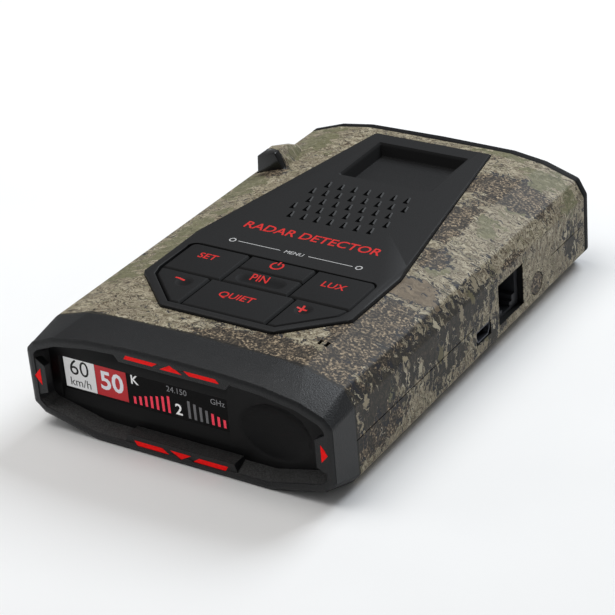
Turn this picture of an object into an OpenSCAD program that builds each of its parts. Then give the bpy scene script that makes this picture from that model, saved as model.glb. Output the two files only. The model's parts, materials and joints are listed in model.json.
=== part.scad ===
// Windshield radar detector: a flat camouflage case with a black display bezel at the driver's end,
// a black top panel with seven keys, a speaker grille and a magnetic mount pocket, a black rear cover,
// and side ports. X runs across, Y from the driver's end to the windshield end, Z up.
// The origin is on the resting face, below the middle of the case.

/* [Case] */
// Width across the case
case_w = 87; // [86:0.5:90]
// Length from the bezel's rim to the back of the rear cover
case_len = 131; // [130:0.5:136]
// Height of the flat top panel above the resting face
panel_top = 29.65; // [29.5:0.05:29.9]
// Height of the line where the two shells meet
split_z = 12.4; // [12:0.1:12.8]
// Wall thickness of both shells
wall = 2; // [1.6:0.1:2.2]

/* [Bezel] */
// Length of the display bezel along the case
bezel_len = 10; // [9:0.5:11]
// Width of the flat ring around the bezel's mouth
ring_w = 2.1; // [1.8:0.1:2.4]
// Depth from the ring to the face of the display fascia
mouth_depth = 4.3; // [3.8:0.1:4.6]

/* [Keys] */
// Travel of every key
key_travel = 0.6; // [0.4:0.1:0.7]
// Gap around each key
key_gap = 0.3; // [0.2:0.05:0.4]

/* [Grille] */
// Distance between the grille's columns
grille_dx = 3.98; // [3.8:0.02:4.1]
// Distance between the grille's rows
grille_dy = 4.63; // [4.4:0.01:4.7]

/* [Hidden] */
$fn = 48;
eps = 0.01;

half_w = case_w / 2;
// The layout runs back from the mouth's ring at y = 0, and its heights are counted from a datum
// just above the underside
y_shift = -case_len / 2;
base_z = -0.4;

// Case section: half outlines from the underside's middle to the top's middle. The shoulders sit
// lower at the rear end.
casing_half = [[31.5, base_z], [41, 0.2], [half_w, 2.8], [half_w, 21.3], [41.1, 25.5],
    [30.5, 28.7], [20, 29.4], [0, 29.5]];
casing_rear_half = [[31.5, base_z], [40.6, 0.8], [half_w, 4.2], [half_w, 20.2], [41.1, 24.6],
    [31.5, 27.8], [22, 29.2], [0, 29.5]];
bezel_back_half = [[31.5, base_z], [41, 0.2], [half_w, 2.8], [half_w, 21.3], [41.1, 25.5],
    [31, 28.6], [24, 29.4], [0, 29.9]];
rim_half = [[25, base_z], [40.6, 3.4], [half_w, 6], [half_w, 20.8], [41.4, 23.1],
    [35, 25.7], [25, 27.4], [14, 28.1], [0, 28.35]];
corner_r = 1.5;

// Rear cover
cover_y = case_len - 3.1;
cover_edge = 1.2;

// Slope of the shell's flat top: lower behind the bezel, higher at the rear
top_front_z = 28.75;
top_rear_z = 29.3;
top_slope = atan((top_rear_z - top_front_z) / (cover_y - bezel_len));

// Top panel: half outline, from the front edge's corner to the rear edge's corner
panel_half = [[16.2, 19.5], [30.2, 32], [30.3, 54.8], [18, 124.8]];
// The flat top inside its rounded edge, which is widest beside the keypad
panel_crown_half = [[16.1, 20.3], [28.7, 32.2], [29, 60], [17.6, 124.4]];
panel_t = 1.65;
panel_edge = 0.8;
panel_under = panel_top - panel_t;
shell_ledge = 1.1;
panel_gap = 0.12;

// Keypad field: half outline, and the lines between the keys
field_half = [[15.4, 21.65], [26.6, 32], [27.6, 35.5], [27.6, 49.85]];
field_corner_r = 2.4;
row_low_y = 21.65;
row_mid_y = 35.6;
row_mark_y = 43;
row_top_y = 49.85;
col_low_x = 12.3;
col_high_x = 9.75;
key_top = panel_top - 0.1;
key_flange_t = 0.75;
key_flange_w = 0.8;
key_bevel = 0.65;
key_rear_bevel = 0.2;
key_base = panel_under - 0.05 - key_flange_t;
dimple_r = 6.6;
dimple_d = 0.45;
small_dimple_x = 17.3;
small_dimple_y = 31.4;
mark_dimple_half = 4.7;
mark_dimple_y = 39.9;

// Keypad mat and board under the keys
mat_top = key_base - key_travel - 0.05;
mat_t = 0.8;
mat_nub = 0.9;
mat_base = mat_top - mat_nub - mat_t;
board_t = 1.2;
keypad_screw_x = 22;
keypad_screw_y = 54.2;

// Grille
grille_y = 72.4;
slot_shape = [[0, 0], [1.49, 0], [1.06, 0.47], [0.72, 1.02], [0.56, 1.65], [0.45, 2.3], [0.28, 2.95], [0, 2.9]];
slot_at = [-1.31, -1.2];
lip_at = [1.1, 0.5];
lip_turn = 14;
lip_w = 0.34;
lip_h = 0.2;
lip_len = 2.8;

// Mount pocket
pocket_half_x = 12.2;
pocket_y = [99.6, 118.2];
pocket_draft = 1.05;
pocket_rim = 0.55;
pocket_depth = 3.35;
pocket_wall = 1.2;
magnet_r = 5;
magnet_t = 2;

// Speaker
speaker_y = 81.7;
speaker_r = 14;
speaker_t = 4.6;
gasket_t = 1;

// Display and dish
display_x = [-37.1, 11.7];
display_z = [8.8, 18];
sill = 2.4;
lens_y = 5.2;
fascia_t = 2.2;
dish_x = 25.2;
dish_z = 12.9;
dish_rx = 9.9;
dish_rz = 7.3;
dish_depth = 1.8;
dish_lift = 0.45;

// Red marks on the ring
bar_in = 5.3;
bar_in_far = 3.6;
bar_out = 12.8;
bar_out_far = 13.5;
pipe_depth = 3;
pipe_gap = 0.02;

// Two short vent slots between the keypad and the bezel
vent_x = [28.2, 30.1];
vent_y = [20.2, 22.2];
vent_half_w = 0.42;

// Main board and the ports on the right-hand side
board_top = 6.2;
main_board_t = 1.6;
port_x = half_w;
usb_y = 71;
usb_z = 8.7;
usb_w = 7;
usb_h = 3.4;
jack_y = 85.8;
jack_z = 12.1;
jack_w = 13.4;
jack_h = 11.6;
jack_len = 15.5;
plug_w = 9.8;
plug_h = 6.9;
plug_depth = 12;
latch_w = 4.2;
latch_h = 1.5;
ear_y = 99.9;
ear_z = 8.4;
ear_cap_r = 3;

// Hump over the rearward laser sensor
hump_y = 97.7;
hump_base_z = 25.2;
lens_t = 1.6;

// Screws
case_screw_x = 34.5;
case_screw_y = [16, 121];
screw_head_r = 2.2;
screw_head_t = 1.5;
screw_r = 1.1;
board_screw_x = 30;
board_screw_y = [30, 108];

function mirrored(half) = concat(half,
    [for (i = [len(half) - 1 : -1 : 0]) if (half[i][0] > 0) [-half[i][0], half[i][1]]]);

// --- Shared shapes ---

module rounded(half, inset = 0, r = corner_r) {
    offset(r = r, $fn = 24) offset(delta = -r - inset) polygon(mirrored(half));
}

// Extrudes an (x, z) section along Y from y0 to y1
module along_y(y0, y1) {
    translate([0, y1, 0]) rotate([90, 0, 0]) linear_extrude(height = y1 - y0) children();
}

// Extrudes a (y, z) section along X from x0 to x1
module along_x(x0, x1) {
    translate([x0, 0, 0]) rotate([90, 0, 90]) linear_extrude(height = x1 - x0) children();
}

module slab(z0, z1) {
    translate([0, 0, z0]) linear_extrude(height = z1 - z0) children();
}

module block(lo, hi) {
    translate(lo) cube(hi - lo);
}

// Everything below the shell's sloping flat top
module below_top() {
    translate([0, bezel_len, top_front_z]) rotate([top_slope, 0, 0])
        translate([-60, -20, -60]) cube([120, 160, 60]);
}

// --- Front bezel and display ---

module mouth(inset = 0) {
    rounded(rim_half, ring_w + inset, 1.2);
}

// Red bar on the right-hand side of the ring; far is the side away from the middle of the case
module bar(z_near, z_far) {
    polygon([[bar_in, z_near], [bar_out_far, z_near], [bar_out, z_far], [bar_in_far, z_far]]);
}

module marks_top() {
    bar(25.3, 26.45);
    mirror([1, 0]) bar(25.3, 26.45);
    polygon([[-3.1, 25.1], [3.1, 25.1], [0, 26.9]]);
}

module marks_bottom() {
    bar(2.65, 1.4);
    mirror([1, 0]) bar(2.65, 1.4);
    polygon([[-3, 2.7], [3, 2.7], [0, 1]]);
}

module mark_side() {
    polygon([[40.1, 11.4], [40.1, 16], [42, 13.7]]);
}

module top_tab() {
    polygon([[-17.5, 27], [17.5, 27], [15.2, 24.1], [-15.2, 24.1]]);
}

module bottom_tab() {
    polygon([[-16.4, 1], [16.4, 1], [15.4, 3.9], [-15.4, 3.9]]);
}

module side_tab() {
    polygon([[42.5, 8.6], [42.5, 18.8], [41, 18.6], [38.6, 17], [38.6, 9.6], [41, 8.6]]);
}

module front_bezel() color("#232427") difference() {
    union() {
        difference() {
            hull() {
                along_y(0, 0.1) rounded(rim_half, 0.45);
                along_y(0.45, 0.55) rounded(rim_half);
                along_y(bezel_len - 0.1, bezel_len) rounded(bezel_back_half);
            }
            hull() {
                along_y(-1, 0) mouth();
                along_y(mouth_depth - 0.1, mouth_depth) mouth(1.3);
            }
            along_y(mouth_depth - eps, bezel_len + 1) mouth(0.3);
        }
        along_y(0.2, 2) intersection() {
            rounded(rim_half, 0.6);
            top_tab();
        }
        along_y(0.2, mouth_depth) intersection() {
            rounded(rim_half, 0.6);
            bottom_tab();
        }
        for (side = [0, 1])
            mirror([side, 0, 0]) along_y(0.2, 2.2) intersection() {
                rounded(rim_half, 0.6);
                side_tab();
            }
    }
    along_y(-1, pipe_depth) {
        offset(delta = pipe_gap) marks_top();
        offset(delta = pipe_gap) marks_bottom();
        offset(delta = pipe_gap) mark_side();
        mirror([1, 0]) offset(delta = pipe_gap) mark_side();
    }
}

module light_pipe(y1 = pipe_depth) {
    color("#d61818") along_y(0.15, y1 - 0.02) children();
}

module light_pipe_top() light_pipe() marks_top();
module light_pipe_bottom() light_pipe() marks_bottom();
module light_pipe_right() light_pipe() mark_side();
module light_pipe_left() light_pipe() mirror([1, 0]) mark_side();

module display_window(grow = 0) {
    translate([display_x[0] - grow, display_z[0] - grow])
        square([display_x[1] - display_x[0] + 2 * grow, display_z[1] - display_z[0] + 2 * grow]);
}

// A shallow oval hollow: the cap of a stretched sphere whose middle stands in front of the face
module dish() {
    reach = sqrt(1 - pow(dish_lift, 2));
    stretch_y = dish_depth / (1 - dish_lift);
    translate([dish_x, mouth_depth + eps - dish_lift * stretch_y, dish_z])
        scale([dish_rx / reach, stretch_y, dish_rz / reach]) sphere(r = 1, $fn = 56);
}

module display_fascia() color("#161719") difference() {
    along_y(mouth_depth + eps, mouth_depth + fascia_t) mouth(0.34);
    hull() {
        along_y(mouth_depth - 0.1, mouth_depth) {
            display_window(0.4);
            translate([0, -sill]) display_window(0.4);
        }
        along_y(lens_y - 0.1, lens_y) display_window();
    }
    along_y(lens_y - eps, 9) display_window(-0.6);
    along_y(lens_y, 9) display_window(0.8);
    along_y(lens_y + 0.82, 9) display_window(1.3);
    dish();
}

module display_lens() color("#0a0a0c") along_y(lens_y + 0.02, lens_y + 0.8) display_window(0.75);

module display_module() color("#2b2f36") {
    along_y(lens_y + 0.85, lens_y + 2.4) display_window(1.2);
    block([display_x[0] + 4, lens_y + 2.4, display_z[0]], [display_x[1] - 4, lens_y + 3.4, display_z[1]]);
}

module display_ribbon() color("#b4762a") {
    block([-20, lens_y + 3.4, 10], [-8, lens_y + 3.7, 12]);
    block([-20, lens_y + 3.4, 7], [-8, lens_y + 3.7, 10]);
    block([-20, lens_y + 3.4, 6.8], [-8, 16, 7.1]);
}

// --- Shells ---

module casing_outer() {
    hull() {
        along_y(bezel_len, bezel_len + 0.1) rounded(casing_half);
        along_y(cover_y - 0.1, cover_y) rounded(casing_rear_half);
    }
}

module casing_inner() {
    along_y(bezel_len - 1, cover_y + 1) rounded(casing_rear_half, wall, 1);
}

// The hump rises from the shell's left shoulder and runs out towards the rear
module hump_outer(inset = 0) {
    corners = [[-39.7, 0, 22], [-30.7, 0, 26.4], [-39.1, 0, 30.3], [-33.6, 0, 32.2], [-38.2, 5.8, 30.9],
        [-34.5, 6.4, 31.6], [-31.1, 5.5, 27.2], [-37, 12, 29.1], [-34.9, 12, 29.1], [-33.4, 13, 26.8],
        [-37.9, 18, 25.8], [-36.3, 18, 26], [-39.6, 10, 23.6]];
    hull() for (c = corners)
        translate([c[0] + (c[0] < -36 ? inset : -inset), hump_y + c[1] + (c[1] == 0 ? inset : 0),
            c[2] - inset]) cube(0.3, center = true);
}

// The lens fills the hump's end facing the driver, down into the shell's top
module hump_lens_zone(grow = 0) {
    slab(hump_base_z - grow, 40) offset(delta = grow)
        polygon([[-39.85, hump_y - 0.2], [-30.6, hump_y - 0.2], [-30.3, hump_y + 1],
            [-39.85, hump_y + lens_t + 3.4]]);
}

module port_holes() {
    x0 = half_w - wall - 1;
    along_x(x0, half_w + 1) {
        translate([jack_y - jack_w / 2, jack_z - jack_h / 2]) square([jack_w, jack_h]);
        translate([usb_y - usb_w / 2 - 0.3, usb_z - usb_h / 2 - 0.3]) square([usb_w + 0.6, usb_h + 0.6]);
    }
    translate([x0, ear_y, ear_z]) rotate([0, 90, 0]) cylinder(r = ear_cap_r + 0.25, h = wall + 3);
}

module parting_groove() {
    for (side = [-1, 1], span = [[bezel_len - 1, 66], [108.3, 125.4]])
        block([side * half_w - 0.35, span[0], split_z - 0.15], [side * half_w + 0.35, span[1], split_z + 0.15]);
}

// The top panel's outline, with rounder corners at the front than at the rear
module panel_outline(inset = 0, half = panel_half) {
    offset(r = 2) offset(delta = -2 - inset) polygon(mirrored(half));
    intersection() {
        offset(r = 0.6) offset(delta = -0.6 - inset) polygon(mirrored(half));
        translate([-30, 100]) square([60, 40]);
    }
}

module upper_shell() color("#8f8871") difference() {
    union() {
        intersection() {
            difference() {
                casing_outer();
                casing_inner();
            }
            below_top();
            block([-60, 0, split_z], [60, 200, 60]);
        }
        difference() {
            hump_outer();
            casing_inner();
        }
        intersection() {
            for (x = [-case_screw_x, case_screw_x], y = case_screw_y)
                translate([x, y, split_z]) cylinder(r = 3, h = 20);
            along_y(bezel_len, cover_y) rounded(casing_rear_half, 0.2);
        }
    }
    slab(panel_under - eps, 40) panel_outline(-panel_gap);
    slab(20, 40) panel_outline(shell_ledge);
    intersection() {
        hump_outer(1.3);
        block([-60, hump_y + 1, 20], [0, 108, 40]);
    }
    hump_lens_zone(0.04);
    for (x = [-case_screw_x, case_screw_x], y = case_screw_y)
        translate([x, y, split_z - 1]) cylinder(r = screw_r - 0.1, h = 9);
    port_holes();
    parting_groove();
    for (x = vent_x)
        block([x - vent_half_w, vent_y[0], 20], [x + vent_half_w, vent_y[1], 40]);
}

module lower_shell() color("#857e68") difference() {
    union() {
        intersection() {
            difference() {
                casing_outer();
                casing_inner();
            }
            block([-60, 0, -1], [60, 200, split_z]);
        }
        intersection() {
            for (x = [-case_screw_x, case_screw_x], y = case_screw_y)
                translate([x, y, base_z]) cylinder(r = 3.6, h = split_z - base_z);
            along_y(bezel_len, cover_y) rounded(casing_rear_half, 0.2);
        }
        for (x = [-board_screw_x, board_screw_x], y = board_screw_y)
            translate([x, y, 0]) cylinder(r = 2.4, h = board_top - main_board_t - 0.02);
    }
    for (x = [-case_screw_x, case_screw_x], y = case_screw_y)
        translate([x, y, -1]) {
            cylinder(r = screw_head_r + 0.3, h = 4);
            cylinder(r = screw_r + 0.2, h = 20);
        }
    for (x = [-board_screw_x, board_screw_x], y = board_screw_y)
        translate([x, y, wall + 0.4]) cylinder(r = 0.9, h = 10);
    port_holes();
    parting_groove();
}

module case_screws() color("#3a3b3e")
    for (x = [-case_screw_x, case_screw_x], y = case_screw_y)
        translate([x, y, 0]) difference() {
            union() {
                translate([0, 0, 1.4]) cylinder(r = screw_head_r, h = screw_head_t + 0.1);
                translate([0, 0, 2.9]) cylinder(r = screw_r, h = split_z - 2.9);
                translate([0, 0, split_z - eps]) cylinder(r = screw_r - 0.12, h = 7);
            }
            translate([0, 0, 1]) cylinder(r = 1, h = 1.2, $fn = 6);
        }

module rear_cover() color("#1d1e21") difference() {
    hull() {
        along_y(cover_y, case_len - cover_edge) rounded(casing_rear_half, -0.05);
        along_y(case_len - 0.5, case_len - 0.4) rounded(casing_rear_half, 0.35);
        along_y(case_len - 0.1, case_len) rounded(casing_rear_half, 0.9);
    }
    along_y(cover_y - 1, cover_y + 1.5) rounded(casing_rear_half, wall);
    block([-60, 0, -20], [60, 200, base_z]);
}

module rear_laser_lens() color("#101113") difference() {
    intersection() {
        union() {
            hump_outer();
            casing_outer();
        }
        hump_lens_zone();
    }
    intersection() {
        hump_outer(1.2);
        block([-60, hump_y + 0.9, 27], [0, 110, 40]);
    }
}

module rear_laser_sensor() color("#3d4a39") difference() {
    block([-36.8, 101.5, 25.4], [-34.2, 104, 28.4]);
    translate([-35.5, 100.5, 26.9]) rotate([-90, 0, 0]) cylinder(r = 1.1, h = 2.4);
}

module forward_laser_sensor() color("#3d4a39") difference() {
    block([-30.4, 117, wall + 0.2], [-21, 126.5, wall + 9]);
    translate([-25.7, 127, wall + 4.6]) rotate([90, 0, 0]) cylinder(r = 3, h = 4);
}

// --- Top panel and keys ---

module field(grow = 0) {
    offset(delta = grow) intersection() {
        polygon(mirrored(field_half));
        offset(r = field_corner_r) offset(delta = -field_corner_r)
            translate([-27.6, -10]) square([55.2, row_top_y + 10]);
    }
}

// A flared opening of the speaker grille
module scoop() {
    translate(slot_at) slab(panel_under - 2, panel_top + 1) polygon(slot_shape);
}

// The low lip along an opening's right-hand side, which falls away from it
module scoop_lip() {
    translate(slot_at) translate(lip_at) rotate([0, 0, lip_turn]) along_y(0, lip_len)
        polygon([[0, panel_top - 0.1], [lip_w, panel_top - 0.1], [lip_w, panel_top], [0, panel_top + lip_h]]);
}

module each_scoop() {
    for (row = [0 : 4], col = [0 : 7]) {
        last = row % 2 == 1 ? 7 : 6;
        if (col <= last)
            translate([(col - last / 2) * grille_dx, grille_y + row * grille_dy, 0]) children();
    }
}

module pocket_rect(grow = 0) {
    offset(r = 0.4) translate([0.4 - pocket_half_x - grow, pocket_y[0] - grow + 0.4])
        square([2 * pocket_half_x + 2 * grow - 0.8, pocket_y[1] - pocket_y[0] + 2 * grow - 0.8]);
}

module top_panel() color("#2b2c2e") difference() {
    union() {
        hull() {
            slab(panel_under, panel_top - panel_edge) panel_outline();
            slab(panel_top - 0.2, panel_top - 0.19) panel_outline(0.12);
            slab(panel_top - 0.01, panel_top) panel_outline(0, panel_crown_half);
        }
        each_scoop() scoop_lip();
        slab(panel_top - pocket_depth - pocket_wall, panel_under + eps) pocket_rect(pocket_wall);
        for (x = [-keypad_screw_x, 0, keypad_screw_x])
            translate([x, keypad_screw_y, mat_base]) cylinder(r = 2, h = panel_under - mat_base + eps);
    }
    slab(panel_under - 1, panel_top + 1) field();
    each_scoop() scoop();
    hull() {
        slab(panel_top - pocket_depth, panel_top - pocket_depth + 0.01) pocket_rect();
        slab(panel_top - pocket_rim, panel_top - pocket_rim + 0.01) pocket_rect(pocket_draft);
    }
    hull() {
        slab(panel_top - pocket_rim, panel_top - pocket_rim + 0.01) pocket_rect(pocket_draft);
        slab(panel_top, panel_top + 0.01) pocket_rect(pocket_draft + pocket_rim);
    }
    for (x = [-keypad_screw_x, 0, keypad_screw_x])
        translate([x, keypad_screw_y, mat_base - 1]) cylinder(r = 0.7, h = 4.2);
}

// A key's cell of the field, grown by extra beyond the field's edge
module key_cell(x0, x1, y0, y1, extra = 0) {
    intersection() {
        field(extra - key_gap);
        translate([x0 + key_gap / 2, y0 + key_gap / 2]) square([x1 - x0 - key_gap, y1 - y0 - key_gap]);
    }
}

// A key fills its cell; a hidden flange under the panel's edge stops it at rest
module key_shape(x0, x1, y0, y1) {
    slab(key_base, key_base + key_flange_t) key_cell(x0, x1, y0, y1, key_flange_w + key_gap);
    hull() {
        slab(key_base + key_flange_t - 0.1, key_top - key_bevel) key_cell(x0, x1, y0, y1);
        slab(key_top - 0.02, key_top) for (dy = [0, key_bevel - key_rear_bevel])
            translate([0, dy]) offset(delta = -key_bevel) key_cell(x0, x1, y0, y1);
    }
}

module dimple(x, y, half = 0) {
    z = key_top + dimple_r - dimple_d;
    for (end = [-half, half]) translate([x + end, y, z]) sphere(r = dimple_r);
    if (half > 0) translate([x - half, y, z]) rotate([0, 90, 0]) cylinder(r = dimple_r, h = 2 * half);
}

module key_sensitivity() color("#26272a") key_shape(-40, -col_high_x, row_mid_y, row_top_y + 5);
module key_brightness() color("#26272a") key_shape(col_high_x, 40, row_mid_y, row_top_y + 5);
module key_power() color("#26272a") key_shape(-col_high_x, col_high_x, row_mark_y, row_top_y + 5);
module key_mark() color("#26272a") difference() {
    key_shape(-col_high_x, col_high_x, row_mid_y, row_mark_y);
    dimple(0, mark_dimple_y - 0.6, mark_dimple_half);
}
module key_mute() color("#26272a") key_shape(-col_low_x, col_low_x, row_low_y - 5, row_mid_y);
module key_minus() color("#26272a") difference() {
    key_shape(-40, -col_low_x, row_low_y - 5, row_mid_y);
    dimple(-small_dimple_x, small_dimple_y);
}
module key_plus() color("#26272a") difference() {
    key_shape(col_low_x, 40, row_low_y - 5, row_mid_y);
    dimple(small_dimple_x, small_dimple_y);
}

module pad_outline() {
    intersection() {
        field(2);
        translate([-28.4, 0]) square([56.8, 60]);
    }
}

module keypad_mat() color("#55575a") {
    slab(mat_base, mat_base + mat_t) pad_outline();
    nubs = [[-18, 43, 5], [18, 43, 5], [0, 46.5, 2.2], [0, mark_dimple_y - 0.6, 2.2], [0, 28.5, 5],
        [-small_dimple_x, small_dimple_y, 3], [small_dimple_x, small_dimple_y, 3]];
    for (n = nubs)
        slab(mat_base + mat_t - eps, mat_top) translate([n[0] - n[2], n[1] - 2]) square([2 * n[2], 4]);
}

module keypad_board() color("#2f6b3c") difference() {
    slab(mat_base - board_t, mat_base - 0.02) union() {
        pad_outline();
        translate([-27, 48]) square([54, 9.5]);
    }
    for (x = [-keypad_screw_x, 0, keypad_screw_x])
        translate([x, keypad_screw_y, mat_base - board_t - 1]) cylinder(r = 1, h = board_t + 2);
}

module keypad_screws() color("#9a9ca0")
    for (x = [-keypad_screw_x, 0, keypad_screw_x])
        translate([x, keypad_screw_y, mat_base - board_t - 1.02]) {
            cylinder(r = 1.8, h = 1);
            cylinder(r = 0.68, h = 3.9);
        }

module speaker_gasket() color("#1a1a1a") translate([0, speaker_y, panel_under - gasket_t]) difference() {
    cylinder(r = speaker_r, h = gasket_t - 0.02);
    translate([0, 0, -1]) cylinder(r = speaker_r - 2, h = gasket_t + 2);
}

module speaker() color("#4c4d50") translate([0, speaker_y, panel_under - gasket_t - speaker_t]) difference() {
    union() {
        cylinder(r = 8, h = speaker_t - 2);
        translate([0, 0, speaker_t - 2.4]) cylinder(r = speaker_r, h = 2.38);
    }
    translate([0, 0, speaker_t + 8]) sphere(r = 10.5);
}

module mount_magnets() color("#b7b9bd")
    for (x = [-6.3, 6.3])
        translate([x, (pocket_y[0] + pocket_y[1]) / 2, panel_top - pocket_depth - pocket_wall - magnet_t - 0.02])
            cylinder(r = magnet_r, h = magnet_t);

// --- Electronics ---

module main_board() color("#1f5a34") difference() {
    slab(board_top - main_board_t, board_top) translate([-40.2, 18]) square([80.4, 94]);
    for (x = [-case_screw_x, case_screw_x], y = case_screw_y)
        translate([x, y, 0]) cylinder(r = 4.2, h = 20);
    for (x = [-board_screw_x, board_screw_x], y = board_screw_y)
        translate([x, y, 0]) cylinder(r = 1.4, h = 20);
}

module board_screws() color("#9a9ca0")
    for (x = [-board_screw_x, board_screw_x], y = board_screw_y)
        translate([x, y, 0]) {
            translate([0, 0, board_top + 0.02]) cylinder(r = 2, h = 1.2);
            translate([0, 0, wall + 0.6]) cylinder(r = 0.88, h = board_top - wall);
        }

module board_components() color("#25262a") {
    chips = [[-24, 84, 11, 11, 1.4], [-24, 100, 8, 8, 1.2], [28, 60, 7, 7, 3.4], [33, 52, 5, 5, 2.8],
        [-35.5, 26, 4, 9, 2.2], [23, 106, 5, 5, 2.4]];
    for (c = chips)
        slab(board_top + 0.02, board_top + c[4]) translate([c[0] - c[2] / 2, c[1] - c[3] / 2]) square([c[2], c[3]]);
    for (y = [40, 47])
        translate([-33, y, board_top + 0.02]) cylinder(r = 2.8, h = 6.5);
}

module rf_shield() color("#a9abb0") difference() {
    block([-15, 46, board_top + 0.02], [15, 92, board_top + 5]);
    block([-14.7, 46.3, board_top - 1], [14.7, 91.7, board_top + 4.7]);
}

module radio_module() color("#b4b6ba") block([-35, 64, board_top + 0.02], [-21, 76, board_top + 2.4]);

module gps_antenna() color("#c9bfa5") difference() {
    block([18, 66, board_top + 0.02], [31, 79, board_top + 4.2]);
    block([19, 67, board_top + 4], [30, 78, board_top + 5]);
}

// A horn flares from its throat to a wide mouth
module horn(x, y_throat, y_mouth, throat, mouth_size, z_mid) {
    module box_at(y, size, grow) {
        translate([x - size[0] / 2 - grow, y - 0.05, z_mid - size[1] / 2 - grow])
            cube([size[0] + 2 * grow, 0.1, size[1] + 2 * grow]);
    }
    difference() {
        hull() {
            box_at(y_throat, throat, 1);
            box_at(y_mouth, mouth_size, 1);
        }
        hull() {
            box_at(y_throat + sign(y_mouth - y_throat) * 1.2, throat, 0);
            box_at(y_mouth + sign(y_mouth - y_throat) * 0.4, mouth_size, 0);
        }
    }
}

module forward_horn() color("#9fa2a6") horn(0, 96, 126.5, [11, 5], [38, 12.4], 14.4);
module rearward_horn() color("#9fa2a6") horn(19.5, 40, 12, [9, 5], [20, 11.5], 13.6);

module modular_jack() color("#37383b") difference() {
    block([half_w - wall + 0.3 - jack_len, jack_y - jack_w / 2 + 0.15, jack_z - jack_h / 2 + 0.05],
        [half_w - wall + 0.3, jack_y + jack_w / 2 - 0.15, jack_z + jack_h / 2 - 0.1]);
    x0 = half_w - wall + 0.3 - plug_depth;
    block([x0, jack_y - plug_w / 2, jack_z - 2.2], [half_w + 1, jack_y + plug_w / 2, jack_z - 2.2 + plug_h]);
    block([x0, jack_y - latch_w / 2 - 1.2, jack_z - 2.2 - latch_h],
        [half_w + 1, jack_y + latch_w / 2 + 1.2, jack_z - 2]);
    block([x0, jack_y - latch_w / 2, jack_z - 2.2 - latch_h - 1.2],
        [half_w + 1, jack_y + latch_w / 2, jack_z - 2]);
}

module usb_section(inset = 0) {
    offset(delta = -inset) translate([usb_y, usb_z]) polygon([[-usb_w / 2, usb_h / 2], [usb_w / 2, usb_h / 2],
        [usb_w / 2, -0.2], [usb_w / 2 - 0.9, -usb_h / 2], [-usb_w / 2 + 0.9, -usb_h / 2], [-usb_w / 2, -0.2]]);
}

module mini_usb_socket() color("#aeb1b6") {
    difference() {
        along_x(half_w - 9.3, half_w - 0.3) usb_section();
        along_x(half_w - 8.7, half_w + 1) usb_section(0.35);
    }
    block([half_w - 8.8, usb_y - 2.3, usb_z + 0.1], [half_w - 1.6, usb_y + 2.3, usb_z + 0.9]);
    block([half_w - 9.3, usb_y - 3.6, board_top + 0.02], [half_w - 4, usb_y + 3.6, usb_z - usb_h / 2 + 0.05]);
}

module earphone_socket() color("#2c2d30") difference() {
    union() {
        block([half_w - 14, ear_y - 3, board_top + 0.02], [half_w - wall - 0.6, ear_y + 3, ear_z + 2.9]);
        translate([half_w - wall - 0.7, ear_y, ear_z]) rotate([0, 90, 0]) cylinder(r = 2.1, h = 0.8);
    }
    translate([half_w - 13, ear_y, ear_z]) rotate([0, 90, 0]) cylinder(r = 1.8, h = 20);
}

module earphone_cap() color("#7f7964") {
    translate([half_w - 1.5, ear_y, ear_z]) rotate([0, 90, 0]) cylinder(r = ear_cap_r, h = 1.4);
    translate([half_w - 9, ear_y, ear_z]) rotate([0, 90, 0]) cylinder(r = 1.7, h = 7.6);
}

// Moves the layout so that the origin lies on the resting face, below the middle of the case
module placed() {
    translate([0, y_shift, -base_z]) children();
}

placed() front_bezel();
placed() display_fascia();
placed() display_lens();
placed() display_module();
placed() display_ribbon();
placed() light_pipe_top();
placed() light_pipe_bottom();
placed() light_pipe_left();
placed() light_pipe_right();
placed() upper_shell();
placed() lower_shell();
placed() rear_cover();
placed() rear_laser_lens();
placed() rear_laser_sensor();
placed() forward_laser_sensor();
placed() top_panel();
placed() key_sensitivity();
placed() key_power();
placed() key_mark();
placed() key_brightness();
placed() key_minus();
placed() key_mute();
placed() key_plus();
placed() keypad_mat();
placed() keypad_board();
placed() keypad_screws();
placed() speaker();
placed() speaker_gasket();
placed() mount_magnets();
placed() main_board();
placed() board_screws();
placed() board_components();
placed() rf_shield();
placed() radio_module();
placed() gps_antenna();
placed() forward_horn();
placed() rearward_horn();
placed() modular_jack();
placed() mini_usb_socket();
placed() earphone_socket();
placed() earphone_cap();
placed() case_screws();
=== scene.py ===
"""Looks of the radar detector: camouflage case, black display bezel, keypad panel and side ports."""
import bmesh
import bpy
import json
import math
from mathutils import Matrix, Vector
from mathutils.bvhtree import BVHTree

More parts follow.
